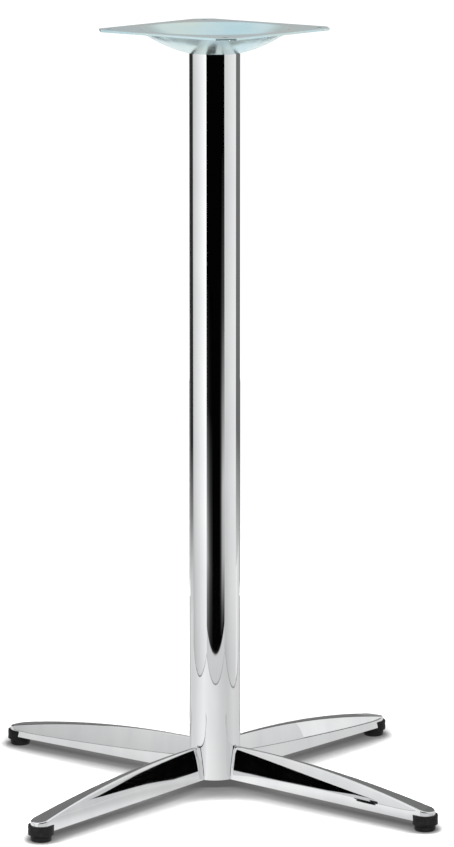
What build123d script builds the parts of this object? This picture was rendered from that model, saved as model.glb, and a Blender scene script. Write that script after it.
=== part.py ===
"""Four-legged table base at bar height: chromed column and legs, plated top plate, moulded glides.

Millimetres, +Z up. The origin is on the floor, on the column's axis. The legs run along X and Y,
and the plate's sides are square to them.
"""

from build123d import *
import math
import os

# Overall
base_height = 1050.0
glide_circle_radius = 362.5

# Column tube
column_diameter = 70.0
column_wall = 2.0
column_foot_height = 16.0

# Top plate, pressed from one sheet
plate_side = 238.0
plate_thickness = 3.0
corner_clip = 19.5
plate_screw_spacing = 200.0
plate_screw_hole_diameter = 7.0
dish_depth = 32.0
dish_rim_radius = 101.0
dish_floor_radius = 41.0
dish_bowl_radius = 180.0
dish_rim_fillet = 5.0
dish_floor_fillet = 8.0
hang_hole_diameter = 4.0
hang_hole_rim_distance = 8.5
hang_hole_angle = 259.3

# Pressed legs, open underneath
leg_wall = 2.0
leg_hollow_least_width = 0.8
leg_underside_height = 14.3
leg_root_height = 62.5
leg_tip_height = 30.0
leg_root_crest_width = 4.8
leg_tip_crest_width = 26.4
leg_root_foot_width = 17.4
leg_tip_foot_width = 30.4
leg_crest_flare = 1.8
leg_root_bow = 0.9
leg_tip_bow = 0.1
leg_crest_fillet = 2.2
leg_root_lift = 2.0
leg_slot_clearance = 0.5

# Hub that carries the leg roots
hub_diameter = 40.0
hub_wall = 4.0
hub_web = 8.0
hub_rise = 1.5
weld_gap = 0.15

# Discs welded in the column
disc_thickness = 6.0

# Tie rod with its nuts and washers
rod_diameter = 12.0
rod_hole_clearance = 0.5
thread_clearance = 0.05
rod_end_length = 5.0
nut_across_flats = 18.0
nut_height = 10.0
washer_diameter = 24.0
washer_thickness = 2.5

# Moulded glides
glide_foot_diameter = 28.8
glide_band_wall = 2.1
glide_band_height = 22.3
glide_step_height = 9.0
glide_band_wrap = 10.0
glide_fit = 0.2
glide_edge_fillet = 2.8
glide_band_fillet = 0.6
glide_plug_wall_gap = 0.6

# Straps in the leg tips and the screws that hold the glides
strap_thickness = 2.5
strap_length = 18.0
strap_crest_gap = 0.6
screw_diameter = 5.0
screw_head_diameter = 9.5
screw_head_height = 3.5
screw_head_recess = 3.0
screw_hole_clearance = 0.2

# Worked out from the driving sizes
column_radius = column_diameter / 2
column_bore_radius = column_radius - column_wall
column_top_height = base_height - dish_depth
dish_floor_height = column_top_height + plate_thickness
hub_top_height = leg_root_height + hub_rise
rod_hole_radius = rod_diameter / 2 + rod_hole_clearance
leg_tip_radius = leg_tip_foot_width / 2
glide_band_radius = leg_tip_radius + glide_fit + glide_band_wall
quarter_turns = {"right": 0.0, "back": 90.0, "left": 180.0, "front": 270.0}


def standing_cylinder(radius, low, high):
    """Solid cylinder on the column's axis between two heights."""
    return Pos(0, 0, low) * Cylinder(radius, high - low, align=(Align.CENTER, Align.CENTER, Align.MIN))


def turned_ring(outer_radius, inner_radius, low, high):
    """Ring on the column's axis between two heights."""
    return standing_cylinder(outer_radius, low, high) - standing_cylinder(inner_radius, low, high)


def crest_arc_radius():
    """Radius of the arc of a leg's top, level at the column and down to the tip's height at the glide."""
    run = glide_circle_radius - column_radius
    drop = leg_root_height - leg_tip_height
    return (run**2 + drop**2) / (2 * drop)


def crest_height(distance):
    """Height of a leg's top at a distance from the column's axis."""
    past_column = max(distance - column_radius, 0.0)
    fall = crest_arc_radius() - math.sqrt(crest_arc_radius() ** 2 - past_column**2)
    return leg_root_height - fall


def crest_half_width(distance):
    """Half the width of a leg's top strip, which flares towards the tip."""
    share = max(distance - column_radius, 0.0) / (glide_circle_radius - column_radius)
    spread = leg_tip_crest_width - leg_root_crest_width
    return (leg_root_crest_width + spread * share**leg_crest_flare) / 2


def foot_half_width(distance):
    """Half the width of a leg at its underside, which widens evenly to the tip."""
    share = (distance - column_radius) / (glide_circle_radius - column_radius)
    spread = leg_tip_foot_width - leg_root_foot_width
    return (leg_root_foot_width + spread * share) / 2


def side_bow(distance):
    """How far a leg's side bulges at half its height, less and less towards the tip."""
    share = max(distance - column_radius, 0.0) / (glide_circle_radius - column_radius)
    return leg_root_bow + (leg_tip_bow - leg_root_bow) * share**2


def leg_section(distance, grow, low):
    """Leg section across the leg's run, grown on all sides and taken down to a lower height."""
    top = crest_height(distance) + grow
    crest = max(crest_half_width(distance) + grow, leg_hollow_least_width / 2)
    foot = foot_half_width(distance) + grow

    def half_width(height):
        """Half the section's width at a height, along the bulging side."""
        share = (height - leg_underside_height) / (top - leg_underside_height)
        return foot + (crest - foot) * share + 4 * side_bow(distance) * share * (1 - share)

    middle = (low + top) / 2
    low_half, middle_half = half_width(low), half_width(middle)
    outline = [
        Line((-low_half, low), (low_half, low)),
        ThreePointArc((low_half, low), (middle_half, middle), (crest, top)),
        Line((crest, top), (-crest, top)),
        ThreePointArc((-crest, top), (-middle_half, middle), (-low_half, low)),
    ]
    across = Plane(origin=(distance, 0, 0), x_dir=(0, 1, 0), z_dir=(1, 0, 0))
    return across * make_face(outline)


def leg_tip(grow, low):
    """Round, drafted end of a leg along +X, under the arc of its top."""
    end = leg_section(glide_circle_radius, grow, low)
    beside = Box(leg_tip_radius, base_height, base_height, align=(Align.CENTER, Align.MIN, Align.CENTER))
    half_end = (end & Pos(glide_circle_radius, 0, 0) * beside).face()
    turned = revolve(half_end, Axis((glide_circle_radius, 0, 0), (0, 0, 1)), -180)
    arc_radius = crest_arc_radius() + grow
    arc_centre = (column_radius, 0, leg_root_height + grow - arc_radius)
    under_arc = Pos(*arc_centre) * Rot(90, 0, 0) * Cylinder(arc_radius, base_height)
    return turned & under_arc


def leg_form(grow, low, crest_fillet):
    """Leg along +X as a full body, from inside the hub to its round tip."""
    hub_radius = hub_diameter / 2
    run = glide_circle_radius - column_radius
    stations = [hub_radius / 2, column_radius]
    stations += [column_radius + run * share for share in (0.2, 0.4, 0.6, 0.8, 1.0)]
    shank = loft([leg_section(distance, grow, low) for distance in stations])
    body = shank + leg_tip(grow, low)
    if crest_fillet > 0:
        well_up = leg_underside_height + leg_wall
        creases = body.edges().filter_by(lambda edge: edge.bounding_box().min.Z > well_up)
        creases = creases.filter_by(lambda edge: edge.bounding_box().size.X > leg_tip_radius / 2)
        body = fillet(creases, crest_fillet)
    return body


def make_leg():
    """One pressed leg along +X, open underneath, its root lifted and cut to the hub's round."""
    outer = leg_form(0.0, leg_underside_height, leg_crest_fillet)
    hollow = leg_form(-leg_wall, leg_underside_height - leg_wall, 0.0)
    hub_cut = standing_cylinder(hub_diameter / 2 + weld_gap, 0, base_height)
    glide_start = glide_circle_radius - glide_band_radius
    rise = [(0, 0), (glide_start, 0), (glide_start, leg_underside_height)]
    rise.append((0, leg_underside_height + leg_root_lift))
    wedge = extrude(Plane.XZ * make_face(Polyline(*rise, close=True)), plate_side, both=True)
    return outer - hollow - hub_cut - wedge


def make_column():
    """Tube slotted at its foot to pass the four leg roots."""
    tube = turned_ring(column_radius, column_bore_radius, column_foot_height, column_top_height)
    slot = leg_form(leg_slot_clearance, 0.0, 0.0)
    for turn in quarter_turns.values():
        tube -= Rot(0, 0, turn) * slot
    return tube


def bowl_centre():
    """Centre of the dish wall's arc in the plate's half section, as radius and height."""
    start = Vector(dish_floor_radius, column_top_height)
    end = Vector(dish_rim_radius, base_height - plate_thickness)
    chord = end - start
    middle = (start + end) * 0.5
    rise = math.sqrt(dish_bowl_radius**2 - (chord.length / 2) ** 2)
    inward = Vector(-chord.Y, chord.X).normalized()
    return middle + inward * rise


def bowl_radius_at(height, wall_radius):
    """Radius from the column's axis of a dish wall arc at a height."""
    centre = bowl_centre()
    return centre.X + math.sqrt(wall_radius**2 - (centre.Y - height) ** 2)


def make_dish():
    """The pressed bowl in the middle of the top plate, with its flat floor."""
    flange_height = base_height - plate_thickness
    inner_arc = dish_bowl_radius - plate_thickness
    floor_edge = (bowl_radius_at(dish_floor_height, inner_arc), dish_floor_height)
    rim_edge = (bowl_radius_at(base_height, inner_arc), base_height)
    under_floor = (dish_floor_radius, column_top_height)
    under_rim = (dish_rim_radius, flange_height)
    hole_low = (rod_hole_radius, column_top_height)
    hole_high = (rod_hole_radius, dish_floor_height)
    lip_high = (dish_rim_radius + plate_thickness, base_height)
    lip_low = (dish_rim_radius + plate_thickness, flange_height)
    outline = [
        Line(hole_low, under_floor),
        RadiusArc(under_floor, under_rim, -dish_bowl_radius),
        Line(under_rim, lip_low),
        Line(lip_low, lip_high),
        Line(lip_high, rim_edge),
        RadiusArc(rim_edge, floor_edge, inner_arc),
        Line(floor_edge, hole_high),
        Line(hole_high, hole_low),
    ]
    half_section = Plane.XZ * make_face(outline)
    return revolve(half_section, Axis.Z)


def circles_of(body, radii):
    """The body's circular edges that have one of these radii."""
    circles = body.edges().filter_by(GeomType.CIRCLE)
    return circles.filter_by(lambda edge: min(abs(edge.radius - radius) for radius in radii) < 0.01)


def make_top_plate():
    """Square plate with clipped corners, dish, screw holes and a small hang hole."""
    square = Rectangle(plate_side, plate_side)
    clipped = chamfer(square.vertices(), corner_clip)
    flange_height = base_height - plate_thickness
    flange = Pos(0, 0, flange_height) * extrude(clipped, plate_thickness)
    flange -= standing_cylinder(dish_rim_radius + plate_thickness, flange_height, base_height)
    plate = flange + make_dish()
    inner_arc = dish_bowl_radius - plate_thickness
    rims = circles_of(plate, (dish_rim_radius, bowl_radius_at(base_height, inner_arc)))
    plate = fillet(rims, dish_rim_fillet)
    floors = circles_of(plate, (dish_floor_radius, bowl_radius_at(dish_floor_height, inner_arc)))
    plate = fillet(floors, dish_floor_fillet)
    screw_hole = standing_cylinder(plate_screw_hole_diameter / 2, flange_height, base_height)
    for place in GridLocations(plate_screw_spacing, plate_screw_spacing, 2, 2):
        plate -= place * screw_hole
    hang_hole = standing_cylinder(hang_hole_diameter / 2, column_top_height, base_height)
    hang_radius = dish_rim_radius - hang_hole_rim_distance
    return plate - Rot(0, 0, hang_hole_angle) * Pos(hang_radius, 0, 0) * hang_hole


def make_hub_cup():
    """Turned cup: a wall that the leg roots are welded to, and a web that the rod pulls up against."""
    body = standing_cylinder(hub_diameter / 2, leg_underside_height, hub_top_height)
    cavity = standing_cylinder(hub_diameter / 2 - hub_wall, leg_underside_height, hub_top_height - hub_web)
    return body - cavity - standing_cylinder(rod_hole_radius, leg_underside_height, hub_top_height)


def make_column_disc(low):
    """Disc welded in the column's bore, with the rod's hole."""
    return turned_ring(column_bore_radius - weld_gap, rod_hole_radius, low, low + disc_thickness)


def make_nut(low):
    """Hexagon nut on the rod."""
    hexagon = RegularPolygon(nut_across_flats / 2, 6, major_radius=False)
    body = Pos(0, 0, low) * extrude(hexagon, nut_height)
    return body - standing_cylinder(rod_diameter / 2 + thread_clearance, low, low + nut_height)


def make_washer(low):
    """Flat washer on the rod."""
    return turned_ring(washer_diameter / 2, rod_hole_radius, low, low + washer_thickness)


def make_glide():
    """One moulded glide under the leg along +X: round foot, band round the tip, plug in the hollow."""
    axis = Pos(glide_circle_radius, 0, 0)
    seat_height = leg_underside_height - glide_fit
    leg_clear = leg_form(glide_fit, seat_height, 0.0)
    hollow_clear = leg_form(-leg_wall - glide_plug_wall_gap, seat_height, 0.0)
    foot = standing_cylinder(glide_foot_diameter / 2, 0, seat_height)
    foot = fillet(foot.edges().group_by(Axis.Z)[0], glide_edge_fillet)
    band = standing_cylinder(glide_band_radius, glide_step_height, glide_band_height)
    band_width = 2 * glide_band_radius
    wrap = Box(band_width, band_width, glide_band_height, align=(Align.MIN, Align.CENTER, Align.MIN))
    band = band & Pos(-glide_band_wrap, 0, 0) * wrap
    band = fillet(band.edges().filter_by(GeomType.CIRCLE), glide_band_fillet)
    plug = standing_cylinder(glide_foot_diameter / 2, glide_step_height, strap_low_height())
    body = axis * (band + foot) - leg_clear + (axis * plug & hollow_clear)
    body -= axis * standing_cylinder(screw_diameter / 2 + screw_hole_clearance, 0, base_height)
    recess_radius = screw_head_diameter / 2 + screw_hole_clearance
    return body - axis * standing_cylinder(recess_radius, 0, screw_head_recess + screw_head_height)


def strap_low_height():
    """Height of a strap's underside, just clear of the leg's hollow."""
    outer_end = glide_circle_radius + strap_length / 2
    return crest_height(outer_end) - leg_wall - strap_crest_gap - strap_thickness


def make_strap():
    """Steel strap across the hollow of the leg along +X, tapped for the glide's screw."""
    low = strap_low_height()
    blank = Box(strap_length, plate_side, strap_thickness, align=(Align.CENTER, Align.CENTER, Align.MIN))
    hollow = leg_form(-leg_wall - weld_gap, leg_underside_height, 0.0)
    strap = (Pos(glide_circle_radius, 0, low) * blank) & hollow
    tapped = standing_cylinder(screw_diameter / 2 + thread_clearance, low, low + strap_thickness)
    return strap - Pos(glide_circle_radius, 0, 0) * tapped


def make_glide_screw():
    """Pan-headed screw from the glide's foot up into the strap."""
    head_top = screw_head_recess + screw_head_height
    head = standing_cylinder(screw_head_diameter / 2, screw_head_recess, head_top)
    shank = standing_cylinder(screw_diameter / 2, screw_head_recess, strap_low_height() + strap_thickness)
    return Pos(glide_circle_radius, 0, 0) * (head + shank)


def around(piece):
    """The piece at each of the four legs, by the leg's name."""
    return {name: Rot(0, 0, turn) * piece for name, turn in quarter_turns.items()}


def make_pieces():
    """Every piece of the base, by node name."""
    bottom_washer_low = hub_top_height - hub_web - washer_thickness
    bottom_nut_low = bottom_washer_low - nut_height
    top_nut_low = dish_floor_height + washer_thickness
    rod_low = bottom_nut_low - rod_end_length
    rod_high = top_nut_low + nut_height + rod_end_length
    pieces = {
        "top_plate": make_top_plate(),
        "column": make_column(),
        "hub_cup": make_hub_cup(),
        "column_disc": make_column_disc(hub_top_height),
        "column_top_disc": make_column_disc(column_top_height - disc_thickness),
        "tie_rod": standing_cylinder(rod_diameter / 2, rod_low, rod_high),
        "top_washer": make_washer(dish_floor_height),
        "top_nut": make_nut(top_nut_low),
        "bottom_washer": make_washer(bottom_washer_low),
        "bottom_nut": make_nut(bottom_nut_low),
        "glide_screws": Compound(children=list(around(make_glide_screw()).values())),
    }
    repeated = {"leg": make_leg(), "glide": make_glide(), "strap": make_strap()}
    for kind, piece in repeated.items():
        for name, placed in around(piece).items():
            pieces[f"{kind}_{name}"] = placed
    return pieces


os.makedirs("parts", exist_ok=True)
for node, shape in make_pieces().items():
    export_step(shape, f"parts/{node}.step")
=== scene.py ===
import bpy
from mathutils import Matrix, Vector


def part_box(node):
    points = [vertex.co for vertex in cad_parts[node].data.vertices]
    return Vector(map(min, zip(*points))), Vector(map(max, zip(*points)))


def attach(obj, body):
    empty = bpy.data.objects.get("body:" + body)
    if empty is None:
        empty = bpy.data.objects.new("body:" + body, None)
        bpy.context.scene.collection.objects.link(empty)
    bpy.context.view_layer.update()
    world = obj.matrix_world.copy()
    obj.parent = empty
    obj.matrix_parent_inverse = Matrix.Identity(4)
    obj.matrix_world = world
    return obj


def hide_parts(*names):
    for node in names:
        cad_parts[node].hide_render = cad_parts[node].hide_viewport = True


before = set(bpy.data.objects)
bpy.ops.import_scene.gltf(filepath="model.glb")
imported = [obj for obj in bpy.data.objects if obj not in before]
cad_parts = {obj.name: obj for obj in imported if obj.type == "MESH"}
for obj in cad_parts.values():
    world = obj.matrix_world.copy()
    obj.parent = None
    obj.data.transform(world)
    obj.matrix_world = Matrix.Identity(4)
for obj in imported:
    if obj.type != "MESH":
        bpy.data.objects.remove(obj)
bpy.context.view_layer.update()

"""Looks of the table base: chromed column and legs, zinc-plated top plate, moulded glides.

Metres, +Z up, in the frame of the solids: the origin is on the floor on the column's axis, and the
legs run along X and Y.
"""

import logging
import math
from dataclasses import dataclass
from enum import Enum

import bmesh
import bpy
from mathutils import Matrix, Vector

log = logging.getLogger("table_base")

MM = 0.001
BODY = "root"
WHITE = (1.0, 1.0, 1.0, 1.0)
# share * (1 - share) peaks at a quarter, and this brings the peak to 1.
PEAK = 4.0

Socket = bpy.types.NodeSocket
Material = bpy.types.Material
Piece = bpy.types.Object
Rows = list[list[Vector]]
Pair = tuple[float, float]
Triple = tuple[float, float, float]
Stops = tuple[tuple[float, Triple], ...]


class Slot(Enum):
    """The record's material slots."""

    CHROME = "chrome"
    ZINC = "zinc_plate"
    STEEL = "bare_steel"
    FASTENER = "plated_fastener"
    PLASTIC = "black_plastic"


class Quarter(Enum):
    """The four legs, each by its turn about the column in degrees."""

    RIGHT = 0.0
    BACK = 90.0
    LEFT = 180.0
    FRONT = 270.0

    @property
    def label(self) -> str:
        """The leg's name as the nodes spell it."""
        return self.name.lower()


class NodeDraft:
    """A node tree while it is wired, with short calls to add nodes and join them."""

    def __init__(self, tree: bpy.types.NodeTree) -> None:
        """Starts with the tree, cleared."""
        self.tree = tree
        self.tree.nodes.clear()

    def add(self, kind: str, **settings: object) -> bpy.types.Node:
        """Adds a node and sets its plain attributes.

        Args:
            kind: Blender's node type.
            **settings: attributes of the node.

        Returns:
            The new node.
        """
        node = self.tree.nodes.new(kind)
        for key, value in settings.items():
            setattr(node, key, value)
        return node

    def join(self, source: Socket, target: Socket) -> None:
        """Links one socket to another."""
        self.tree.links.new(source, target)

    def reckon(self, operation: str, first: Socket, second: Socket) -> Socket:
        """Reckons with two values.

        Args:
            operation: the Math node's operation.
            first: the first value.
            second: the second value.

        Returns:
            The result's socket.
        """
        node = self.add("ShaderNodeMath", operation=operation)
        self.join(first, node.inputs[0])
        self.join(second, node.inputs[1])
        return node.outputs[0]

    def spread(self, value: Socket, given: Pair, wanted: Pair) -> Socket:
        """Maps one range of a value to another.

        Args:
            value: the value's socket.
            given: the range that it has.
            wanted: the range that it gets.

        Returns:
            The mapped socket.
        """
        node = self.add("ShaderNodeMapRange")
        for name, number in zip(("From Min", "From Max", "To Min", "To Max"), given + wanted):
            node.inputs[name].default_value = number
        self.join(value, node.inputs["Value"])
        return node.outputs["Result"]

    def ramp(self, value: Socket, stops: Stops) -> Socket:
        """Colours by a ramp over a value.

        Args:
            value: the socket that the ramp reads.
            stops: places from 0 to 1 with their colours.

        Returns:
            The colour socket.
        """
        node = self.add("ShaderNodeValToRGB")
        elements = node.color_ramp.elements
        while len(elements) < len(stops):
            elements.new(0.5)
        for element, (position, colour) in zip(elements, stops):
            element.position = position
            element.color = (*colour, 1.0)
        self.join(value, node.inputs["Fac"])
        return node.outputs["Color"]


@dataclass(frozen=True)
class Grain:
    """Noise over a piece: its scale per metre, its octaves and how it is stretched."""

    scale: float
    detail: float
    stretch: Triple = (1.0, 1.0, 1.0)

    def draw(self, draft: NodeDraft) -> Socket:
        """Adds the noise to a tree.

        Args:
            draft: the tree.

        Returns:
            The noise's value socket.
        """
        coordinates = draft.add("ShaderNodeTexCoord")
        mapping = draft.add("ShaderNodeMapping")
        mapping.inputs["Scale"].default_value = self.stretch
        draft.join(coordinates.outputs["Object"], mapping.inputs["Vector"])
        texture = draft.add("ShaderNodeTexNoise")
        texture.inputs["Scale"].default_value = self.scale
        texture.inputs["Detail"].default_value = self.detail
        draft.join(mapping.outputs["Vector"], texture.inputs["Vector"])
        return texture.outputs["Fac"]


@dataclass(frozen=True)
class Finish:
    """A finish whose tone and gloss drift in patches, with a fine relief of a share and a depth."""

    NOISE_RANGE = (0.3, 0.7)

    name: str
    stops: Stops
    roughness: Pair
    patches: Grain
    haze: Grain
    relief: Grain
    relief_share: float
    relief_depth: float
    metallic: float = 1.0
    specular: float = 0.5

    def material(self) -> Material:
        """Makes the material.

        Returns:
            The material.
        """
        material = bpy.data.materials.new(self.name)
        material.use_nodes = True
        draft = NodeDraft(material.node_tree)
        output = draft.add("ShaderNodeOutputMaterial")
        shader = draft.add("ShaderNodeBsdfPrincipled")
        shader.inputs["Metallic"].default_value = self.metallic
        shader.inputs["Specular IOR Level"].default_value = self.specular
        draft.join(shader.outputs["BSDF"], output.inputs["Surface"])
        draft.join(draft.ramp(self.patches.draw(draft), self.stops), shader.inputs["Base Color"])
        gloss = draft.spread(self.haze.draw(draft), self.NOISE_RANGE, self.roughness)
        draft.join(gloss, shader.inputs["Roughness"])
        bump = draft.add("ShaderNodeBump")
        bump.inputs["Strength"].default_value = self.relief_share
        bump.inputs["Distance"].default_value = self.relief_depth
        draft.join(self.relief.draw(draft), bump.inputs["Height"])
        draft.join(bump.outputs["Normal"], shader.inputs["Normal"])
        return material


@dataclass(frozen=True)
class ChromeFinish(Finish):
    """Mirror-bright chrome: faint haze in patches and fine polishing lines."""

    name: str = "chrome_plate"
    stops: Stops = ((0.3, (0.80, 0.81, 0.82)), (0.7, (0.88, 0.885, 0.89)))
    roughness: Pair = (0.012, 0.04)
    patches: Grain = Grain(22.0, 4.0, (1.0, 1.0, 0.4))
    haze: Grain = patches
    relief: Grain = Grain(40.0, 2.0, (60.0, 60.0, 60.0))
    relief_share: float = 0.02
    relief_depth: float = 0.004 * MM


@dataclass(frozen=True)
class ZincFinish(Finish):
    """Bright zinc plate with a blue-green passivation that drifts to pale yellow."""

    name: str = "zinc_plate"
    stops: Stops = (
        (0.30, (0.485, 0.68, 0.735)),
        (0.46, (0.55, 0.705, 0.735)),
        (0.58, (0.58, 0.705, 0.69)),
        (0.72, (0.655, 0.715, 0.635)),
    )
    roughness: Pair = (0.17, 0.23)
    patches: Grain = Grain(14.0, 3.0)
    haze: Grain = Grain(45.0, 4.0)
    relief: Grain = Grain(700.0, 2.0)
    relief_share: float = 0.03
    relief_depth: float = 0.01 * MM
    metallic: float = 0.95


@dataclass(frozen=True)
class SteelFinish(Finish):
    """Plain turned or cut steel, with fine lines and a dull, uneven tone."""

    name: str = "bare_steel"
    stops: Stops = ((0.3, (0.30, 0.30, 0.31)), (0.7, (0.46, 0.46, 0.47)))
    roughness: Pair = (0.35, 0.55)
    patches: Grain = Grain(70.0, 5.0)
    haze: Grain = patches
    relief: Grain = Grain(160.0, 3.0, (1.0, 1.0, 18.0))
    relief_share: float = 0.2
    relief_depth: float = 0.06 * MM


@dataclass(frozen=True)
class FastenerFinish(SteelFinish):
    """Zinc-plated fasteners: steel's lines under a paler, brighter plate."""

    name: str = "plated_fastener"
    stops: Stops = ((0.3, (0.56, 0.60, 0.62)), (0.7, (0.70, 0.73, 0.75)))
    roughness: Pair = (0.24, 0.38)


@dataclass(frozen=True)
class PlasticFinish(Finish):
    """Moulded black plastic: satin, finely grained and a little cloudy."""

    name: str = "black_plastic"
    stops: Stops = ((0.35, (0.002, 0.0021, 0.0022)), (0.7, (0.006, 0.006, 0.0065)))
    roughness: Pair = (0.34, 0.5)
    patches: Grain = Grain(180.0, 4.0)
    haze: Grain = patches
    relief: Grain = Grain(2600.0, 2.0)
    relief_share: float = 0.25
    relief_depth: float = 0.05 * MM
    metallic: float = 0.0
    specular: float = 0.12


class Finishes:
    """One material for each slot, made once."""

    def __init__(self) -> None:
        """Makes all the materials."""
        self.by_slot: dict[Slot, Material] = {
            Slot.CHROME: ChromeFinish().material(),
            Slot.ZINC: ZincFinish().material(),
            Slot.STEEL: SteelFinish().material(),
            Slot.FASTENER: FastenerFinish().material(),
            Slot.PLASTIC: PlasticFinish().material(),
        }

    def dress(self, piece: Piece, slot: Slot) -> None:
        """Gives a piece the material of a slot."""
        piece.data.materials.clear()
        piece.data.materials.append(self.by_slot[slot])


class MeshDraft:
    """Points and faces of one piece while it is being made."""

    WELD = 1e-7

    def __init__(self) -> None:
        """Starts with an empty mesh."""
        self.mesh = bmesh.new()

    def grid(self, rows: Rows, closed: bool = False) -> None:
        """Adds a sheet of quads.

        Args:
            rows: rows of points, all of the same length.
            closed: whether the last row joins the first.
        """
        verts = [[self.mesh.verts.new(point) for point in row] for row in rows]
        if closed:
            verts.append(verts[0])
        for first, second in zip(verts, verts[1:]):
            for near, far in zip(range(len(first)), range(1, len(first))):
                self.mesh.faces.new((first[near], first[far], second[far], second[near]))

    def tube(self, rings: Rows) -> None:
        """Adds the wall through closed rings of points."""
        self.grid([list(row) for row in zip(*rings)], closed=True)

    def loop_edges(self, points: list[Vector]) -> list[bmesh.types.BMEdge]:
        """Adds a closed loop of edges through points in order."""
        verts = [self.mesh.verts.new(point) for point in points]
        return [self.mesh.edges.new(pair) for pair in zip(verts, verts[1:] + verts[:1])]

    def flat_fill(self, loops: Rows) -> None:
        """Fills a flat area between closed runs of points: an outline and the holes in it."""
        edges = [edge for loop in loops for edge in self.loop_edges(loop)]
        bmesh.ops.triangle_fill(self.mesh, edges=edges, use_beauty=True)

    def piece(self, name: str, turn_deg: float = 0.0, crease_deg: float = 35.0) -> Piece:
        """Turns the draft into a smooth-shaded mesh object.

        Args:
            name: the object's name.
            turn_deg: turn about the column's axis.
            crease_deg: edges sharper than this stay sharp.

        Returns:
            The object, in the scene.
        """
        bmesh.ops.remove_doubles(self.mesh, verts=self.mesh.verts, dist=self.WELD)
        bmesh.ops.dissolve_degenerate(self.mesh, edges=self.mesh.edges, dist=self.WELD)
        bmesh.ops.recalc_face_normals(self.mesh, faces=self.mesh.faces)
        turn = Matrix.Rotation(math.radians(turn_deg), 3, "Z")
        bmesh.ops.rotate(self.mesh, verts=self.mesh.verts, matrix=turn)
        data = bpy.data.meshes.new(name)
        self.mesh.to_mesh(data)
        self.mesh.free()
        data.shade_smooth()
        data.set_sharp_from_angle(angle=math.radians(crease_deg))
        made = bpy.data.objects.new(name, data)
        bpy.context.scene.collection.objects.link(made)
        return made


class Workshop:
    """Puts finished pieces into the frame: finish, slot, body and the node each stands for."""

    def __init__(self, finishes: Finishes) -> None:
        """Keeps the finishes at hand."""
        self.finishes = finishes

    def seat(self, piece: Piece, node: str, slot: Slot) -> None:
        """Dresses a modelled piece and lets it stand for its solid.

        Args:
            piece: the modelled mesh.
            node: the solid that it replaces.
            slot: the slot whose finish it takes.
        """
        weighted = piece.modifiers.new("weighted_normals", "WEIGHTED_NORMAL")
        weighted.keep_sharp = True
        self.finishes.dress(piece, slot)
        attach(piece, BODY)
        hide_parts(node)
        log.info("%s stands for %s in %s", piece.name, node, slot.value)

    def dress_solid(self, node: str, slot: Slot) -> None:
        """Dresses a solid that shows as it is, with the finish of a slot."""
        self.finishes.dress(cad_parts[node], slot)
        log.info("%s keeps its solid, in %s", node, slot.value)


def ring_point(radius: float, angle: float, height: float) -> Vector:
    """Point on a circle about the column's axis, with the angle in radians."""
    return Vector((radius * math.cos(angle), radius * math.sin(angle), height))


def between(start: float, end: float, count: int) -> list[float]:
    """Evenly spaced values from start to end: one more than the count of steps."""
    return [start + (end - start) * step / count for step in range(count + 1)]


def rounded_corner(corner: Vector, back: Vector, ahead: Vector, radius: float, steps: int) -> list[Vector]:
    """Arc that rounds the corner between two straight runs.

    Args:
        corner: where the two runs would meet.
        back: direction from the corner along the run that arrives.
        ahead: direction from the corner along the run that leaves.
        radius: the arc's radius.
        steps: steps along the arc.

    Returns:
        Points from the arriving run to the leaving one.
    """
    back, ahead = back.normalized(), ahead.normalized()
    half = back.angle(ahead) / 2
    start = corner + back * (radius / math.tan(half))
    end = corner + ahead * (radius / math.tan(half))
    centre = corner + (back + ahead).normalized() * (radius / math.sin(half))
    spoke, last = start - centre, end - centre
    sweep = spoke.angle(last)
    points = []
    for share in between(0.0, 1.0, steps):
        weight_start = math.sin((1 - share) * sweep) / math.sin(sweep)
        weight_end = math.sin(share * sweep) / math.sin(sweep)
        points.append(centre + spoke * weight_start + last * weight_end)
    return points


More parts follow.
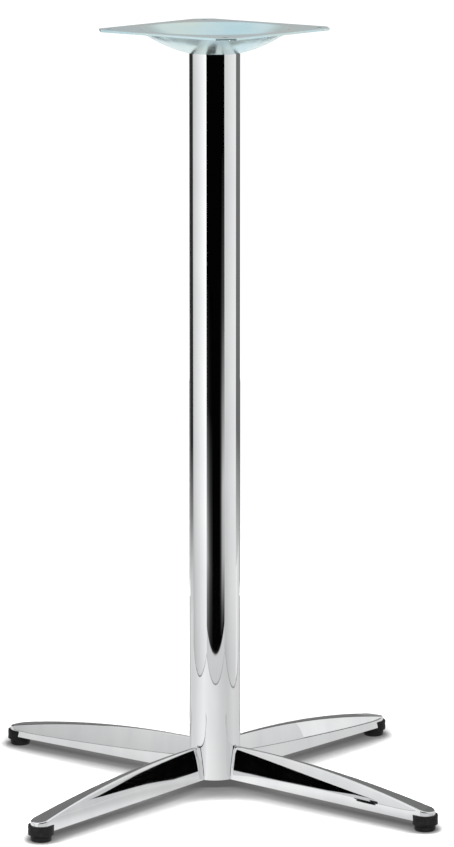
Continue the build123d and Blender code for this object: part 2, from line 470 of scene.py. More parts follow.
@dataclass
class Leg:
    """A pressed leg: tall and thin at the column, low and wide at its round, drafted tip."""

    glide_radius: float = 362.5 * MM
    column_radius: float = 35.0 * MM
    hub_radius: float = 20.15 * MM
    wall: float = 2.0 * MM
    underside: float = 14.3 * MM
    root_height: float = 62.5 * MM
    tip_height: float = 30.0 * MM
    root_crest: float = 4.8 * MM
    tip_crest: float = 26.4 * MM
    root_foot: float = 17.4 * MM
    tip_foot: float = 30.4 * MM
    flare: float = 1.8
    root_bow: float = 0.9 * MM
    tip_bow: float = 0.1 * MM
    root_lift: float = 2.0 * MM
    lift_end: float = 345.0 * MM
    crease_radius: float = 2.2 * MM
    hollow_crease_radius: float = 0.3 * MM
    run_steps: int = 90
    tip_steps: int = 40
    wall_steps: int = 10
    crease_steps: int = 8
    top_steps: int = 5
    corner_rounds: int = 20

    def crest(self, x: float) -> float:
        """Height of the leg's top at a distance from the column's axis.

        Args:
            x: the distance.

        Returns:
            The height above the floor.
        """
        run = self.glide_radius - self.column_radius
        drop = self.root_height - self.tip_height
        arc_radius = (run**2 + drop**2) / (2 * drop)
        past = max(x - self.column_radius, 0.0)
        return self.root_height - arc_radius + math.sqrt(arc_radius**2 - past**2)

    def crest_half(self, x: float) -> float:
        """Half the width of the top strip at a distance from the column's axis."""
        share = max(x - self.column_radius, 0.0) / (self.glide_radius - self.column_radius)
        return (self.root_crest + (self.tip_crest - self.root_crest) * share**self.flare) / 2

    def foot_half(self, x: float) -> float:
        """Half the width of the leg's underside at a distance from the column's axis."""
        share = (x - self.column_radius) / (self.glide_radius - self.column_radius)
        return (self.root_foot + (self.tip_foot - self.root_foot) * share) / 2

    def bow(self, x: float) -> float:
        """How far the leg's side bulges at a distance from the column's axis."""
        share = max(x - self.column_radius, 0.0) / (self.glide_radius - self.column_radius)
        return self.root_bow + (self.tip_bow - self.root_bow) * share**2

    def lift(self, x: float) -> float:
        """How far the underside lies above its height at the tip."""
        return self.root_lift * max(1 - x / self.lift_end, 0.0)

    def profile(self, x: float, foot: Vector, corner: Vector, inward: Vector, inset: float) -> list[Vector]:
        """Bulging wall and rounded crease of one section.

        Args:
            x: distance from the column's axis, which sets the bulge and the underside.
            foot: lower end of the wall at the tip's underside, as width and height.
            corner: where the wall would meet the top.
            inward: direction of the top, towards the middle.
            inset: 0 for the outside, the wall's thickness for the hollow.

        Returns:
            The points from the foot to the end of the crease.
        """
        rise = corner - foot
        swell = Vector((PEAK * self.bow(x), 0.0))
        radius = self.hollow_crease_radius if inset else self.crease_radius
        arc = rounded_corner(corner, swell - rise, inward, radius, self.crease_steps)
        wall_start = self.lift(x) / rise.y
        wall_end = 1 - (corner.y - arc[0].y) / rise.y
        shares = between(wall_start, wall_end, self.wall_steps)[:-1]
        return [foot + rise * share + swell * (share * (1 - share)) for share in shares] + arc

    def side_section(self, x: float, inset: float) -> list[Vector]:
        """Half section across the leg.

        Args:
            x: distance from the column's axis.
            inset: 0 for the outside, the wall's thickness for the hollow.

        Returns:
            Points from the foot to the middle of the top, as width and height.
        """
        foot = Vector((self.foot_half(x) - inset, self.underside))
        corner = Vector((self.crest_half(x) - inset, self.crest(x) - inset))
        points = self.profile(x, foot, corner, Vector((-1.0, 0.0)), inset)
        middle = Vector((0.0, corner.y))
        return points + [points[-1].lerp(middle, share) for share in between(0.0, 1.0, self.top_steps)[1:]]

    def tip_section(self, angle: float, inset: float) -> list[Vector]:
        """Half section through the round tip, along a spoke from the glide's axis.

        Args:
            angle: the spoke's angle from the leg's run.
            inset: 0 for the outside, the wall's thickness for the hollow.

        Returns:
            Points from the foot to the glide's axis, as reach and height.
        """
        foot = Vector((self.foot_half(self.glide_radius) - inset, self.underside))
        ridge = Vector((self.crest_half(self.glide_radius) - inset, self.tip_height - inset))

        def top_at(reach: float) -> float:
            """Height of the top along the spoke."""
            return self.crest(self.glide_radius + reach * math.cos(angle)) - inset

        corner = ridge.copy()
        for _ in range(self.corner_rounds):
            share = (top_at(corner.x) - foot.y) / (ridge.y - foot.y)
            corner = foot.lerp(ridge, share)
        nudge = self.crease_radius
        inward = Vector((-nudge, top_at(corner.x - nudge) - top_at(corner.x)))
        points = self.profile(self.glide_radius, foot, corner, inward, inset)
        reaches = between(points[-1].x, 0.0, self.top_steps)[1:]
        return points + [Vector((reach, top_at(reach))) for reach in reaches]

    def skin(self, inset: float) -> Rows:
        """The leg's outside or its hollow, from the root along one side, round the tip and back.

        Args:
            inset: 0 for the outside, the wall's thickness for the hollow.

        Returns:
            Rows of points, one row for each station.
        """
        stations = between(self.hub_radius, self.glide_radius, self.run_steps)
        sides: dict[float, Rows] = {1.0: [], -1.0: []}
        for x in stations:
            section = self.side_section(x, inset)
            for hand, rows in sides.items():
                row = []
                for point in section:
                    row.append(Vector((self.root_cut(x, point.x), hand * point.x, point.y)))
                rows.append(row)
        tip = []
        for angle in between(math.pi / 2, -math.pi / 2, self.tip_steps)[1:-1]:
            section = self.tip_section(angle, inset)
            spoke = Vector((math.cos(angle), math.sin(angle)))
            row = []
            for point in section:
                row.append(Vector((self.glide_radius + point.x * spoke.x, point.x * spoke.y, point.y)))
            tip.append(row)
        return sides[1.0] + tip + sides[-1.0][::-1]

    def root_cut(self, x: float, width: float) -> float:
        """Distance along the leg, with the root cut to the hub's round."""
        return math.sqrt(self.hub_radius**2 - width**2) if x <= self.hub_radius else x

    def build(self, workshop: Workshop, quarter: Quarter) -> None:
        """Makes one leg and seats it.

        Args:
            workshop: where pieces are dressed and seated.
            quarter: which leg.
        """
        outside, hollow = self.skin(0.0), self.skin(self.wall)
        draft = MeshDraft()
        draft.grid(outside)
        draft.grid(hollow)
        draft.grid([[outer[0], inner[0]] for outer, inner in zip(outside, hollow)])
        for end in (0, -1):
            draft.grid([outside[end], hollow[end]])
        piece = draft.piece(f"leg_{quarter.label}_skin", quarter.value)
        workshop.seat(piece, f"leg_{quarter.label}", Slot.CHROME)


@dataclass
class Column:
    """The tube, with a slot in its foot for each leg root."""

    radius: float = 35.0 * MM
    bore_radius: float = 33.0 * MM
    low: float = 16.0 * MM
    high: float = 1018.0 * MM
    slot_clearance: float = 0.5 * MM
    panel_steps: int = 28
    slot_steps: int = 6
    slot_rows: int = 10
    rows: int = 24

    def slot_half(self, leg: Leg, height: float) -> float:
        """Half the slot's width at a height.

        Args:
            leg: the leg that passes through.
            height: height above the floor.

        Returns:
            The half width.
        """
        top = leg.root_height + self.slot_clearance
        crest = leg.root_crest / 2 + self.slot_clearance
        foot = leg.root_foot / 2 + self.slot_clearance
        share = (min(height, top) - leg.underside) / (top - leg.underside)
        bulge = PEAK * leg.root_bow * share * (1 - share)
        return foot + (crest - foot) * share + bulge

    def wall_rows(self, leg: Leg, radius: float, turn: float) -> tuple[Rows, Rows]:
        """One quarter of a wall: the panel between two slots, and the strip above one slot.

        Args:
            leg: the leg that passes through.
            radius: the wall's radius.
            turn: the quarter's turn in radians.

        Returns:
            The panel's rows and the strip's rows.
        """
        top = leg.root_height + self.slot_clearance
        heights = between(self.low, top, self.slot_rows) + between(top, self.high, self.rows)[1:]
        panel, strip = [], []
        for height in heights:
            edge = math.asin(self.slot_half(leg, height) / radius)
            angles = between(turn + edge, turn + math.pi / 2 - edge, self.panel_steps)
            panel.append([ring_point(radius, angle, height) for angle in angles])
            if height >= top:
                across = between(turn - edge, turn + edge, self.slot_steps)
                strip.append([ring_point(radius, angle, height) for angle in across])
        return panel, strip

    def build(self, workshop: Workshop, leg: Leg) -> None:
        """Makes the tube and seats it.

        Args:
            workshop: where pieces are dressed and seated.
            leg: the leg whose root passes through.
        """
        draft = MeshDraft()
        for quarter in Quarter:
            turn = math.radians(quarter.value)
            panel, strip = self.wall_rows(leg, self.radius, turn)
            bore_panel, bore_strip = self.wall_rows(leg, self.bore_radius, turn)
            for rows in (panel, strip, bore_panel, bore_strip):
                draft.grid(rows)
            for outside, inside in ((panel, bore_panel), (strip, bore_strip)):
                for end in (0, -1):
                    draft.grid([outside[end], inside[end]])
            slot_end = self.slot_rows + 1
            for side in (0, -1):
                outer = [row[side] for row in panel[:slot_end]]
                inner = [row[side] for row in bore_panel[:slot_end]]
                draft.grid([outer, inner])
        workshop.seat(draft.piece("column_tube"), "column", Slot.CHROME)


@dataclass
class TopPlate:
    """Pressed plate: flat square rim with clipped corners, round dish, screw holes and a hang hole."""

    top: float = 1050.0 * MM
    thickness: float = 3.0 * MM
    side: float = 238.0 * MM
    corner_clip: float = 19.5 * MM
    edge_radius: float = 0.5 * MM
    screw_spacing: float = 200.0 * MM
    screw_hole_radius: float = 3.5 * MM
    dish_depth: float = 32.0 * MM
    rim_radius: float = 101.0 * MM
    floor_radius: float = 41.0 * MM
    bowl_radius: float = 180.0 * MM
    rim_fillet: float = 5.0 * MM
    floor_fillet: float = 8.0 * MM
    rod_hole_radius: float = 6.5 * MM
    join_radius: float = 111.0 * MM
    hang_hole_radius: float = 2.0 * MM
    hang_hole_place: float = 92.5 * MM
    hang_hole_angle: float = 259.3
    turn_steps: int = 200
    arc_steps: int = 24
    fillet_steps: int = 7
    hole_steps: int = 32
    floor_steps: int = 4
    edge_steps: int = 4

    def bowl_centre(self) -> Vector:
        """Centre of the dish wall's arc, as radius and height.

        Returns:
            The centre.
        """
        start = Vector((self.floor_radius, self.top - self.dish_depth))
        end = Vector((self.rim_radius, self.top - self.thickness))
        chord = end - start
        rise = math.sqrt(self.bowl_radius**2 - (chord.length / 2) ** 2)
        return (start + end) / 2 + Vector((-chord.y, chord.x)).normalized() * rise

    def bowl_wall(self, low: float, high: float, arc_radius: float) -> list[Vector]:
        """Half section of one face of the dish, with its two rounded corners.

        Args:
            low: height of the dish's floor on this face.
            high: height of the flat rim on this face.
            arc_radius: radius of the wall's arc.

        Returns:
            Points from the rod's hole out to the flat rim.
        """
        centre = self.bowl_centre()

        def on_arc(height: float) -> Vector:
            """Point of the wall at a height."""
            return Vector((centre.x + math.sqrt(arc_radius**2 - (centre.y - height) ** 2), height))

        def tangent(point: Vector) -> Vector:
            """Direction up the wall at a point."""
            spoke = point - centre
            return Vector((-spoke.y, spoke.x)).normalized()

        foot, rim = on_arc(low), on_arc(high)
        level = Vector((1.0, 0.0))
        foot_arc = rounded_corner(foot, -level, tangent(foot), self.floor_fillet, self.fillet_steps)
        rim_arc = rounded_corner(rim, -tangent(rim), level, self.rim_fillet, self.fillet_steps)
        heights = between(foot_arc[-1].y, rim_arc[0].y, self.arc_steps)[1:-1]
        wall = [on_arc(height) for height in heights]
        radii = between(self.rod_hole_radius, foot_arc[0].x, self.floor_steps)[:-1]
        flat = [Vector((radius, low)) for radius in radii]
        return flat + foot_arc + wall + rim_arc + [Vector((self.join_radius, high))]

    def outline(self, inset: float, height: float) -> list[Vector]:
        """The square with clipped corners.

        Args:
            inset: how far inside the plate's edge.
            height: height above the floor.

        Returns:
            The outline's points in order.
        """
        reach = self.side / 2 - inset
        clip = reach - self.corner_clip + inset * (2 - math.sqrt(2))
        corners = [(reach, -clip), (reach, clip), (clip, reach), (-clip, reach)]
        corners += [(-reach, clip), (-reach, -clip), (-clip, -reach), (clip, -reach)]
        return [Vector((x, y, height)) for x, y in corners]

    def circle(self, centre: Pair, radius: float, steps: int, height: float) -> list[Vector]:
        """Closed run of points round a hole.

        Args:
            centre: the hole's centre in X and Y.
            radius: the hole's radius.
            steps: how many points.
            height: height above the floor.

        Returns:
            The points in order.
        """
        middle = Vector((*centre, height))
        angles = between(0.0, math.tau, steps)[:-1]
        return [middle + ring_point(radius, angle, 0.0) for angle in angles]

    def hole_wall(self, centre: Pair, radius: float, ends: Pair) -> Rows:
        """Circles at the two end heights of a round hole."""
        return [self.circle(centre, radius, self.hole_steps, end) for end in ends]

    def screw_places(self) -> list[Pair]:
        """Centres of the screw holes in X and Y."""
        reach = self.screw_spacing / 2
        return [(x, y) for x in (-reach, reach) for y in (-reach, reach)]

    def draft_dish(self, draft: MeshDraft) -> None:
        """Turns the dish.

        Args:
            draft: the mesh that takes the dish.
        """
        floor, rim = self.top - self.dish_depth, self.top - self.thickness
        under = self.bowl_wall(floor, rim, self.bowl_radius)
        over = self.bowl_wall(floor + self.thickness, self.top, self.bowl_radius - self.thickness)
        turns = between(0.0, math.tau, self.turn_steps)[:-1]
        for section in (under, over, [under[0], over[0]]):
            rows = [[ring_point(point.x, turn, point.y) for point in section] for turn in turns]
            draft.grid(rows, closed=True)

    def draft_rim(self, draft: MeshDraft) -> None:
        """Fills the flat rim on both faces, rounds its outer edge and lines the screw holes.

        Args:
            draft: the mesh that takes the rim.
        """
        low, high = self.top - self.thickness, self.top
        for height in (low, high):
            loops = [self.outline(self.edge_radius, height)]
            loops.append(self.circle((0.0, 0.0), self.join_radius, self.turn_steps, height))
            for place in self.screw_places():
                loops.append(self.circle(place, self.screw_hole_radius, self.hole_steps, height))
            draft.flat_fill(loops)
        edge = []
        for start, level, side in ((-math.pi / 2, low, 1), (0.0, high, -1)):
            for angle in between(start, start + math.pi / 2, self.edge_steps):
                edge.append((1 - math.cos(angle), level + self.edge_radius * (side + math.sin(angle))))
        levels = [self.outline(share * self.edge_radius, height) for share, height in edge]
        draft.tube(levels)
        for place in self.screw_places():
            draft.tube(self.hole_wall(place, self.screw_hole_radius, (low, high)))

    def drill_hang_hole(self, piece: Piece) -> None:
        """Cuts the small hang hole through the dish wall.

        Args:
            piece: the plate.
        """
        turn = math.radians(self.hang_hole_angle)
        place = ring_point(self.hang_hole_place, turn, 0.0)
        draft = MeshDraft()
        ends = (self.top - self.dish_depth, self.top + self.thickness)
        walls = self.hole_wall((place.x, place.y), self.hang_hole_radius, ends)
        draft.tube(walls)
        for wall in walls:
            draft.flat_fill([wall])
        drill = draft.piece("hang_hole_drill")
        cut = piece.modifiers.new("hang_hole", "BOOLEAN")
        cut.object, cut.operation, cut.solver = drill, "DIFFERENCE", "EXACT"
        drilled = piece.evaluated_get(bpy.context.evaluated_depsgraph_get())
        mesh = bpy.data.meshes.new_from_object(drilled)
        piece.modifiers.remove(cut)
        piece.data = mesh
        bpy.data.objects.remove(drill)

    def build(self, workshop: Workshop) -> None:
        """Makes the plate and seats it.

        Args:
            workshop: where pieces are dressed and seated.
        """
        draft = MeshDraft()
        self.draft_dish(draft)
        self.draft_rim(draft)
        piece = draft.piece("top_plate_pressing")
        self.drill_hang_hole(piece)
        workshop.seat(piece, "top_plate", Slot.ZINC)


@dataclass
class Fastening:
    """The tie rod with its threaded ends, and its nuts and washers."""

    rod_radius: float = 6.0 * MM
    pitch: float = 1.75 * MM
    thread_depth: float = 1.05 * MM
    thread_length: float = 34.0 * MM
    thread_crest: float = 0.12
    nut_flats: float = 18.0 * MM
    nut_land: float = 0.95
    nut_lead: float = 0.6 * MM
    nut_corner_deg: float = 30.0
    nut_crease_deg: float = 20.0
    bore_gap: float = 0.05 * MM
    washer_gap: float = 0.5 * MM
    washer_edge: float = 0.5 * MM
    washer_roll: float = 0.3
    turn_steps: int = 48
    pitch_rows: int = 8
    hex_steps: int = 96

    def thread_radius(self, angle: float, height: float, low: float, high: float) -> float:
        """Radius of the rod at a point, with its thread near both ends.

        Args:
            angle: angle about the rod in radians.
            height: height above the floor.
            low: the rod's lower end.
            high: the rod's upper end.

        Returns:
            The radius.
        """
        reach = min(height - low, high - height)
        fade = min(1.0, max(0.0, (self.thread_length - reach) / self.pitch))
        phase = ((height - low) / self.pitch - angle / math.tau) % 1.0
        groove = max(0.0, 1.0 - abs(2.0 * phase - 1.0) - self.thread_crest) / (1.0 - self.thread_crest)
        point = min(1.0, max(0.0, 1.0 - reach / self.pitch))
        return self.rod_radius - fade * self.thread_depth * groove * (1 - point) - point * self.thread_depth

    def build_rod(self, workshop: Workshop) -> None:
        """Makes the tie rod and seats it.

        Args:
            workshop: where pieces are dressed and seated.
        """
        low, high = (corner.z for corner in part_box("tie_rod"))
        row_step = self.pitch / self.pitch_rows
        end_rows = round((self.thread_length + self.pitch) / row_step)
        heights = [low + row_step * row for row in range(end_rows + 1)]
        heights += [high - row_step * row for row in range(end_rows, -1, -1)]
        angles = between(0.0, math.tau, self.turn_steps)[:-1]
        rows = []
        for angle in angles:
            row = [Vector((0.0, 0.0, low))]
            for height in heights:
                row.append(ring_point(self.thread_radius(angle, height, low, high), angle, height))
            rows.append(row + [Vector((0.0, 0.0, high))])
        draft = MeshDraft()
        draft.grid(rows, closed=True)
        workshop.seat(draft.piece("tie_rod_threaded"), "tie_rod", Slot.FASTENER)

    def build_nut(self, workshop: Workshop, node: str) -> None:
        """Makes a hexagon nut with turned corners and seats it.

        Args:
            workshop: where pieces are dressed and seated.
            node: the nut's name.
        """
        low, high = (corner.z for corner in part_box(node))
        bore = self.rod_radius + self.bore_gap
        land = self.nut_flats / 2 * self.nut_land
        lead = self.nut_lead
        rows = []
        for angle in between(0.0, math.tau, self.hex_steps)[:-1]:
            around_flat = (angle + math.pi / 6) % (math.pi / 3) - math.pi / 6
            turned = math.pi / 6 - abs(around_flat)
            reach = self.nut_flats / 2 / math.cos(turned)
            fall = (reach - land) * math.tan(math.radians(self.nut_corner_deg))
            section = [(bore, low + lead), (bore + lead, low), (land, low), (reach, low + fall)]
            section += [(reach, high - fall), (land, high), (bore + lead, high), (bore, high - lead)]
            section.append(section[0])
            rows.append([ring_point(radius, angle, height) for radius, height in section])
        draft = MeshDraft()
        draft.grid(rows, closed=True)
        workshop.seat(draft.piece(f"{node}_hexagon", crease_deg=self.nut_crease_deg), node, Slot.FASTENER)

    def build_washer(self, workshop: Workshop, node: str) -> None:
        """Makes a washer with one rolled edge and seats it.

        Args:
            workshop: where pieces are dressed and seated.
            node: the washer's name.
        """
        lowest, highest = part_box(node)
        outer, bore, edge = highest.x, self.rod_radius + self.washer_gap, self.washer_edge
        low, high = lowest.z, highest.z
        roll = self.washer_roll * edge
        section = [(bore, low), (outer, low), (outer, high - edge), (outer - roll, high - roll)]
        section += [(outer - edge, high), (bore, high), (bore, low)]
        rows = []
        for angle in between(0.0, math.tau, self.hex_steps)[:-1]:
            rows.append([ring_point(radius, angle, height) for radius, height in section])
        draft = MeshDraft()
        draft.grid(rows, closed=True)
        workshop.seat(draft.piece(f"{node}_ring"), node, Slot.FASTENER)

    def build(self, workshop: Workshop) -> None:
        """Makes the rod, nuts and washers.

        Args:
            workshop: where pieces are dressed and seated.
        """
        self.build_rod(workshop)
        for end in ("top", "bottom"):
            self.build_nut(workshop, f"{end}_nut")
            self.build_washer(workshop, f"{end}_washer")


@dataclass(frozen=True)
class Card:
    """A studio card that only reflections see.

    The bearing is the direction of its nearest point, in degrees from the camera's side, to the
    right positive. The tones run from its start to its end, and each level is a height with the
    share of the tone that shows there.
    """

    name: str
    bearing: float
    distance: float
    start: float
    end: float
    tones: tuple[float, ...]
    levels: tuple[Pair, ...]


@dataclass
class Studio:
    """Pale floor, soft light, cards and the camera."""

    camera_turn: float = 39.21
    camera_pitch: float = 10.261
    camera_place: Triple = (0.0167, -5.7515, 1.5512)
    lens_mm: float = 181.78
    sensor_mm: float = 36.0
    view_end: float = 100.0
    floor_size: float = 40.0
    floor_fill: float = 0.10
    floor_glow: float = 0.9
    glow_start: float = 0.43
    glow_full: float = 0.8
    shade_reach: float = 0.08
    sky_for_light: float = 0.24
    lamp_power: float = 105.0
    lamp_size: Pair = (1.8, 0.25)
    lamp_place: Triple = (0.0, -1.35, 1.0)
    lamp_tilt: float = 36.5
    sheet_hub: float = 0.001
    sheet_reach: float = 1.22
    sheet_height: float = 0.4 * MM
    sheet_steps: int = 72
    flag_distance: float = 0.62
    flag_light: float = 0.80
    flag_dark: float = 0.001
    flag_soft: float = 0.004
    flag_thin: float = 0.012
    flag_top: float = 0.75
    flag_depth: float = 1.5

    # Painted shadow: floor colour by ambient occlusion, darker close under the base.
    SHADE = ((0.40, 0.07), (0.62, 0.12), (0.76, 0.30), (0.86, 0.66), (0.94, 0.95))
    # Painted reflection: tones of the floor sheet by bearing, darkest behind the base.
    SHEET_TONES = (
        (-180.0, 0.3), (-158.0, 0.3), (-145.0, 0.74), (-100.0, 0.78), (-52.0, 0.99), (0.0, 0.83),
        (30.0, 0.71), (58.0, 0.65), (88.0, 0.76), (145.0, 0.70), (158.0, 0.3), (180.0, 0.3),
    )
    # Painted reflection: the flag's places with the heights of its dark band's lower and upper edges.
    FLAG = (
        (-0.60, 0.10, 0.70), (-0.195, 0.095, 0.70), (-0.145, 0.06, 0.70), (-0.075, 0.045, 0.70),
        (0.025, 0.030, 0.70), (0.046, 0.034, 0.65), (0.098, 0.082, 0.45), (0.133, 0.102, 0.32),
        (0.15, 0.112, 0.255), (0.172, 0.126, 0.205), (0.19, 0.143, 0.165), (0.205, 0.15, 0.16),
        (0.60, 0.15, 0.16),
    )
    # Painted shade: the next two level tables start with a dark strip a few millimetres high for the shadow
    # gap under a card, and the first also darkens towards its bottom.
    GAP_SHADE = ((0.0, 0.12), (0.0025, 0.12), (0.0026, 0.78), (0.3, 1.0), (3.0, 1.0))
    LOW = ((0.0, 0.12), (0.004, 0.12), (0.0041, 1.0), (0.18, 1.0))
    FRONT = ((0.0, 0.3), (0.003, 0.3), (0.0031, 0.69), (0.046, 0.69), (0.050, 0.001), (1.06, 0.001))
    FRONT_LEFT = ((0.05, 0.3), (0.1, 0.5), (0.17, 1.0), (0.28, 0.55), (0.41, 0.06), (0.60, 0.01))
    FRONT_RIGHT = (
        (0.06, 0.02), (0.1, 0.25), (0.17, 0.8), (0.28, 1.0), (0.41, 0.5), (0.55, 0.12), (0.80, 0.01),
    )
    BACK = ((0.0, 0.2), (1.1, 0.2), (1.16, 0.62), (1.5, 0.62), (2.0, 0.9))
    BACK_LEFT = (
        (0.0, 0.72), (0.06, 0.66), (0.16, 0.24), (0.28, 0.03), (0.96, 0.03), (1.0, 0.78), (2.0, 0.78),
    )
    BACK_RIGHT = (
        (0.0, 0.714), (0.06, 0.68), (0.16, 0.408), (0.28, 0.17), (0.96, 0.17), (1.0, 0.68), (2.0, 0.765),
    )
    NEAR = ((0.5, 1.0), (1.045, 1.0))
    EVEN = (1.0, 1.0)
    CARDS = (
        Card("front_card", 3.0, 0.65, -0.53, 0.56, EVEN, FRONT),
        Card("front_left_card", 3.0, 0.645, -0.53, -0.14, (0.50, 0.44, 0.22, 0.09, 0.04, 0.01), FRONT_LEFT),
        Card("front_right_card", 3.0, 0.645, 0.23, 0.56, (0.01, 0.07, 0.42, 0.60, 0.62, 0.62), FRONT_RIGHT),
        Card("left_card", -72.0, 0.69, -0.58, 0.56, (0.62, 0.90, 1.28), GAP_SHADE),
        Card("right_card", 92.0, 0.61, -0.80, 0.19, (0.72, 0.74, 0.86, 0.95), GAP_SHADE),
        Card("back_left_card", -133.0, 1.10, -0.32, 0.48, EVEN, BACK_LEFT),
        Card("back_right_card", 145.0, 1.12, -0.86, 0.16, EVEN, BACK_RIGHT),
        Card("back_card", 180.0, 1.20, -0.62, 0.64, EVEN, BACK),
        Card("plate_card", 180.0, 0.40, -0.19, 0.19, EVEN, NEAR),
        Card("right_low_card", 92.0, 0.61, 0.19, 0.66, (0.95, 0.66), LOW),
    )

    def to_row(self, point: Vector) -> Vector:
        """Turns a point from the camera's bearing into the row's frame."""
        return Matrix.Rotation(math.radians(self.camera_turn), 3, "Z") @ point

    def facing(self, pitch: float) -> Triple:
        """Turn that looks at the base from the camera's side, down by a pitch in degrees."""
        return math.radians(90.0 - pitch), 0.0, math.radians(self.camera_turn)

    def add_camera(self) -> None:
        """Adds the camera at the photograph's viewing angle."""
        data = bpy.data.cameras.new("studio_camera")
        data.sensor_width = self.sensor_mm
        data.lens = self.lens_mm
        data.clip_end = self.view_end
        camera = bpy.data.objects.new("studio_camera", data)
        camera.location = self.to_row(Vector(self.camera_place))
        camera.rotation_euler = self.facing(self.camera_pitch)
        bpy.context.scene.collection.objects.link(camera)
        bpy.context.scene.camera = camera

    def seen_directly(self, draft: NodeDraft) -> Socket:
        """Light Path test for rays that show the background.

        Args:
            draft: the tree that takes the nodes.

        Returns:
            A socket that is 1 for camera, glossy and transmission rays.
        """
        path = draft.add("ShaderNodeLightPath")
        seen = draft.reckon("MAXIMUM", path.outputs["Is Camera Ray"], path.outputs["Is Glossy Ray"])
        return draft.reckon("MAXIMUM", seen, path.outputs["Is Transmission Ray"])

    def light_world(self) -> None:
        """White surroundings to look at, and softer light from them."""
        world = bpy.data.worlds.new("studio_world")
        world.use_nodes = True
        draft = NodeDraft(world.node_tree)
        output = draft.add("ShaderNodeOutputWorld")
        mix = draft.add("ShaderNodeMixShader")
        draft.join(self.seen_directly(draft), mix.inputs["Fac"])
        for socket, strength in ((1, self.sky_for_light), (2, 1.0)):
            sky = draft.add("ShaderNodeBackground")
            sky.inputs["Color"].default_value = WHITE
            sky.inputs["Strength"].default_value = strength
            draft.join(sky.outputs["Background"], mix.inputs[socket])
        draft.join(mix.outputs["Shader"], output.inputs["Surface"])
        bpy.context.scene.world = world

    def add_lamp(self) -> None:
        """Adds the long soft lamp in front of the base, lower than its plate."""
        data = bpy.data.lights.new("soft_lamp", "AREA")
        data.shape = "RECTANGLE"
        data.size, data.size_y = self.lamp_size
        data.energy = self.lamp_power
        lamp = bpy.data.objects.new("soft_lamp", data)
        lamp.location = self.to_row(Vector(self.lamp_place))
        lamp.rotation_euler = self.facing(self.lamp_tilt)
        lamp.visible_glossy = False
        bpy.context.scene.collection.objects.link(lamp)

    def stage_mesh(self, name: str, rows: Rows, material: Material) -> Piece:
        """Adds a flat sheet that isn't part of the base.

        Args:
            name: the sheet's name.
            rows: rows of points.
            material: what it is made of.

        Returns:
            The sheet.
        """
        draft = MeshDraft()
        draft.grid(rows)
        sheet = draft.piece(name)
        sheet.data.materials.append(material)
        return sheet

    def floor_shade(self, draft: NodeDraft) -> Socket:
        """Floor colour with a painted shadow: darker where ambient occlusion finds the base close.

        Args:
            draft: the tree that takes the nodes.

        Returns:
            The colour socket.
        """
        nearness = draft.add("ShaderNodeAmbientOcclusion")
        nearness.inputs["Distance"].default_value = self.shade_reach
        stops = tuple((place, (tone, tone, tone)) for place, tone in self.SHADE)
        return draft.ramp(nearness.outputs["AO"], stops)

    def floor_brightness(self, draft: NodeDraft) -> Socket:
        """Glow that keeps the far floor white and fills the shadows near the base.

        Args:
            draft: the tree that takes the nodes.

        Returns:
            The strength socket.
        """
        coordinates = draft.add("ShaderNodeTexCoord")
        distance = draft.add("ShaderNodeVectorMath", operation="LENGTH")
        draft.join(coordinates.outputs["Object"], distance.inputs[0])
        reaches, glows = (self.glow_start, self.glow_full), (self.floor_fill, self.floor_glow)
        glow = draft.spread(distance.outputs["Value"], reaches, glows)
        return draft.reckon("MULTIPLY", self.seen_directly(draft), glow)

    def add_floor(self) -> None:
        """Adds the pale floor, which keeps the base's shadow from the lamp and a painted shadow in its
        colour close under the base.
        """
        material = bpy.data.materials.new("pale_floor")
        material.use_nodes = True
        draft = NodeDraft(material.node_tree)
        output = draft.add("ShaderNodeOutputMaterial")
        matt = draft.add("ShaderNodeBsdfDiffuse")
        draft.join(self.floor_shade(draft), matt.inputs["Color"])
        glow = draft.add("ShaderNodeEmission")
        draft.join(self.floor_brightness(draft), glow.inputs["Strength"])
        both = draft.add("ShaderNodeAddShader")
        draft.join(matt.outputs["BSDF"], both.inputs[0])
        draft.join(glow.outputs["Emission"], both.inputs[1])
        draft.join(both.outputs["Shader"], output.inputs["Surface"])
        half = self.floor_size / 2
        rows = [[Vector((x, y, 0.0)) for y in (-half, half)] for x in (-half, half)]
        self.stage_mesh("studio_floor", rows, material)

    def tone_sheet(self, sheet: Piece, tones: list[float]) -> None:
        """Gives a sheet its tones, and hides it from everything but reflections.

        Args:
            sheet: the sheet.
            tones: one tone for each of its points.
        """
        colours = sheet.data.color_attributes.new("tone", "FLOAT_COLOR", "POINT")
        for point, tone in zip(colours.data, tones):
            point.color = (tone, tone, tone, 1.0)
        sheet.visible_camera = False
        sheet.visible_diffuse = False
        sheet.visible_shadow = False
        sheet.visible_transmission = False

    def sheet_tone(self, bearing: float) -> float:
        """Tone of the floor sheet at a bearing in degrees.

        Args:
            bearing: the bearing from the camera's side, to the right positive.

        Returns:
            The tone between the two nearest given ones.
        """
        for (low, first), (high, second) in zip(self.SHEET_TONES, self.SHEET_TONES[1:]):
            if bearing <= high:
                return first + (second - first) * (bearing - low) / (high - low)
        return self.SHEET_TONES[-1][1]

    def add_floor_sheet(self, material: Material) -> None:
        """Adds a round sheet that only reflections see: a painted reflection of the floor near the base,
        lighter or darker by bearing.

        Args:
            material: the cards' material.
        """
        rows = []
        for bearing in between(-180.0, 180.0, self.sheet_steps)[:-1]:
            turn = math.radians(bearing)
            spoke = Vector((math.sin(turn), -math.cos(turn), 0.0))
            lift = Vector((0.0, 0.0, self.sheet_height))
            rows.append([self.to_row(spoke * reach + lift) for reach in (self.sheet_hub, self.sheet_reach)])
        sheet = self.stage_mesh("floor_sheet", rows + rows[:1], material)
        tones = []
        for vertex in sheet.data.vertices:
            seen = Matrix.Rotation(math.radians(-self.camera_turn), 3, "Z") @ vertex.co
            tones.append(self.sheet_tone(math.degrees(math.atan2(seen.x, -seen.y))))
        self.tone_sheet(sheet, tones)

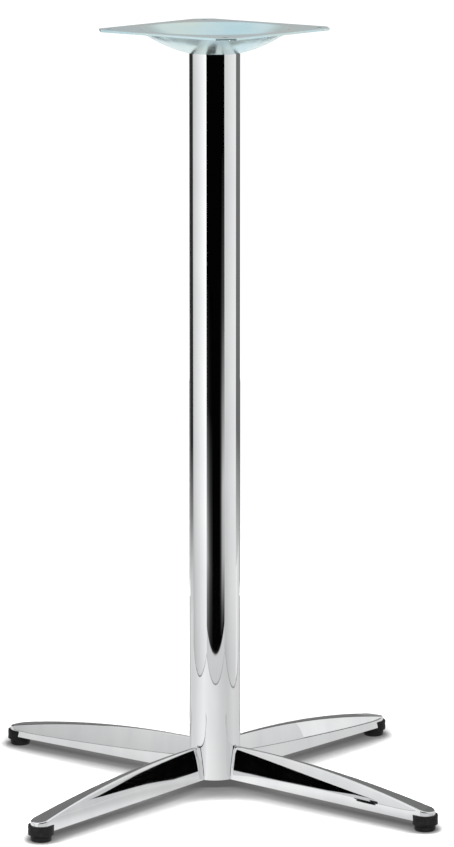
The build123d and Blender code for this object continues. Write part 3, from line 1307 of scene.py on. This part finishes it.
    def card_material(self, name: str, only_twice: bool) -> Material:
        """Glow whose tone comes from the card's own colours.

        Args:
            name: the material's name.
            only_twice: whether it shows only where one leg mirrors another.

        Returns:
            The material.
        """
        material = bpy.data.materials.new(name)
        material.use_nodes = True
        draft = NodeDraft(material.node_tree)
        output = draft.add("ShaderNodeOutputMaterial")
        glow = draft.add("ShaderNodeEmission")
        tone = draft.add("ShaderNodeAttribute", attribute_name="tone")
        draft.join(tone.outputs["Color"], glow.inputs["Color"])
        shown = glow.outputs["Emission"]
        if only_twice:
            path = draft.add("ShaderNodeLightPath")
            again = draft.add("ShaderNodeMath", operation="GREATER_THAN")
            again.inputs[1].default_value = self.flag_depth
            draft.join(path.outputs["Glossy Depth"], again.inputs[0])
            clear = draft.add("ShaderNodeBsdfTransparent")
            mix = draft.add("ShaderNodeMixShader")
            draft.join(again.outputs[0], mix.inputs["Fac"])
            draft.join(clear.outputs["BSDF"], mix.inputs[1])
            draft.join(shown, mix.inputs[2])
            shown = mix.outputs["Shader"]
        draft.join(shown, output.inputs["Surface"])
        return material

    def add_flag(self, material: Material) -> None:
        """Adds the flag in front: dark between two edges, light below and above them. It is a painted
        reflection that shows only where one leg mirrors another.

        Args:
            material: the flag's material.
        """
        soft, light, dark = self.flag_soft, self.flag_light, self.flag_dark
        rows, tones = [], []
        for place, low, high in self.FLAG:
            heights = (0.0, low, low + soft, high - soft, high, self.flag_top)
            rows.append([self.to_row(Vector((place, -self.flag_distance, height))) for height in heights])
            middle = dark if high - low > self.flag_thin else light
            tones += [light, light, middle, middle, light, light]
        self.tone_sheet(self.stage_mesh("front_flag", rows, material), tones)

    def add_card(self, card: Card, material: Material) -> None:
        """Adds one card.

        Args:
            card: where it stands and how bright it is.
            material: the cards' material.
        """
        bearing = math.radians(card.bearing)
        outward = Vector((math.sin(bearing), -math.cos(bearing), 0.0)) * card.distance
        along = Vector((math.cos(bearing), math.sin(bearing), 0.0))
        rows, tones = [], []
        for tone, place in zip(card.tones, between(card.start, card.end, len(card.tones) - 1)):
            foot = outward + along * place
            rows.append([self.to_row(foot + Vector((0.0, 0.0, height))) for height, _ in card.levels])
            tones += [tone * share for _, share in card.levels]
        self.tone_sheet(self.stage_mesh(card.name, rows, material), tones)

    def build(self) -> None:
        """Sets the view transform and adds everything round the base."""
        bpy.context.scene.view_settings.view_transform = "Standard"
        self.add_camera()
        self.light_world()
        self.add_lamp()
        self.add_floor()
        material = self.card_material("card_glow", only_twice=False)
        self.add_floor_sheet(material)
        self.add_flag(self.card_material("flag_glow", only_twice=True))
        for card in self.CARDS:
            self.add_card(card, material)


def main() -> None:
    """Builds the base's pieces in order, then the studio round it."""
    logging.basicConfig(level=logging.INFO, format="%(name)s: %(message)s")
    workshop = Workshop(Finishes())
    leg = Leg()
    Column().build(workshop, leg)
    for quarter in Quarter:
        leg.build(workshop, quarter)
        workshop.dress_solid(f"glide_{quarter.label}", Slot.PLASTIC)
        workshop.dress_solid(f"strap_{quarter.label}", Slot.STEEL)
    TopPlate().build(workshop)
    Fastening().build(workshop)
    for node in ("hub_cup", "column_disc", "column_top_disc"):
        workshop.dress_solid(node, Slot.STEEL)
    workshop.dress_solid("glide_screws", Slot.FASTENER)
    Studio().build()


if __name__ == "__main__":
    main()
